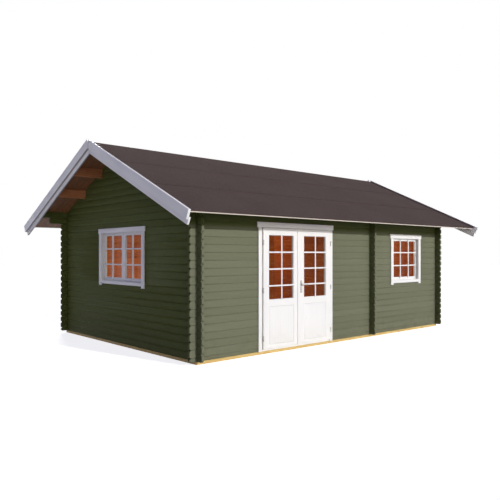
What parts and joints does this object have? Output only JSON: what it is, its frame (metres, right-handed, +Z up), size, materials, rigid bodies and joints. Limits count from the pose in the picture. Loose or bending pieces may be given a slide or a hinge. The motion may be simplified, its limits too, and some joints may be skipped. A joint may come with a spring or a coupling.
{
  "type": "log cabin",
  "caption": "Garden log cabin of interlocking logs with crossed ends, a glazed double door that swings outwards, casement windows and a felted gable roof on purlins.",
  "frame": {"origin": "ground level, in the middle of the cabin's outline", "axes": "+X along the front wall to the right seen from outside, +Y from front to back, +Z up"},
  "size_m": [7.62, 5.6844, 3.4355],
  "materials": {
    "painted_log": "olive green paint on logs",
    "white_paint": "white satin paint",
    "bare_pine": "bare planed pine",
    "roof_felt": "brown mineral roofing felt",
    "window_glass": "clear",
    "satin_steel": "satin"
  },
  "bodies": {
    "cabin": {"foundation_beams": "bare_pine", "floor_joists": "bare_pine", "floor_boards": "bare_pine", "front_wall_left_logs": "painted_log", "front_wall_right_logs": "painted_log", "front_wall_top_logs": "painted_log", "back_wall_logs": "painted_log", "left_gable_logs": "painted_log", "left_gable_peak_logs": "painted_log", "right_gable_logs": "painted_log", "right_gable_peak_logs": "painted_log", "partition_logs": "painted_log", "partition_peak_logs": "painted_log", "ridge_purlin": "bare_pine", "side_purlins": "bare_pine", "front_roof_boards": "bare_pine", "back_roof_boards": "bare_pine", "front_roof_felt": "roof_felt", "back_roof_felt": "roof_felt", "eave_battens": "white_paint", "left_barge_boards": "white_paint", "right_barge_boards": "white_paint", "inner_barge_boards": "white_paint", "door_frame": "white_paint", "door_stops": "white_paint", "door_trim": "white_paint", "frame_hinge_halves": "satin_steel", "front_window_frame": "white_paint", "front_window_sash": "white_paint", "front_window_glass": "window_glass", "front_window_trim": "white_paint", "gable_window_frame": "white_paint", "gable_window_sashes": "white_paint", "gable_window_glass": "window_glass", "gable_window_trim": "white_paint"},
    "left_leaf": {"left_door_leaf": "white_paint", "left_door_panel": "white_paint", "left_door_glass": "window_glass", "left_door_hinge_halves": "satin_steel"},
    "right_leaf": {"right_door_leaf": "white_paint", "right_door_panel": "white_paint", "right_door_glass": "window_glass", "right_door_hinge_halves": "satin_steel", "handle_plates": "satin_steel"},
    "lever": {"door_lever": "satin_steel"}
  },
  "joints": [
    {"name": "left_door_hinge", "type": "hinge", "parent": "cabin", "child": "left_leaf", "pos_m": [-1.9632, -2.238, 1], "axis": [0, 0, -1], "range_deg": [0, 165]},
    {"name": "right_door_hinge", "type": "hinge", "parent": "cabin", "child": "right_leaf", "pos_m": [-0.3668, -2.238, 1], "axis": [0, 0, 1], "range_deg": [0, 165]},
    {"name": "lever_turn", "type": "hinge", "parent": "right_leaf", "child": "lever", "pos_m": [-1.112, -2.23, 1.056], "axis": [0, 1, 0], "range_deg": [0, 45], "stiffness_Nm_per_rad": 0.8, "springref_deg": -28.65}
  ]
}
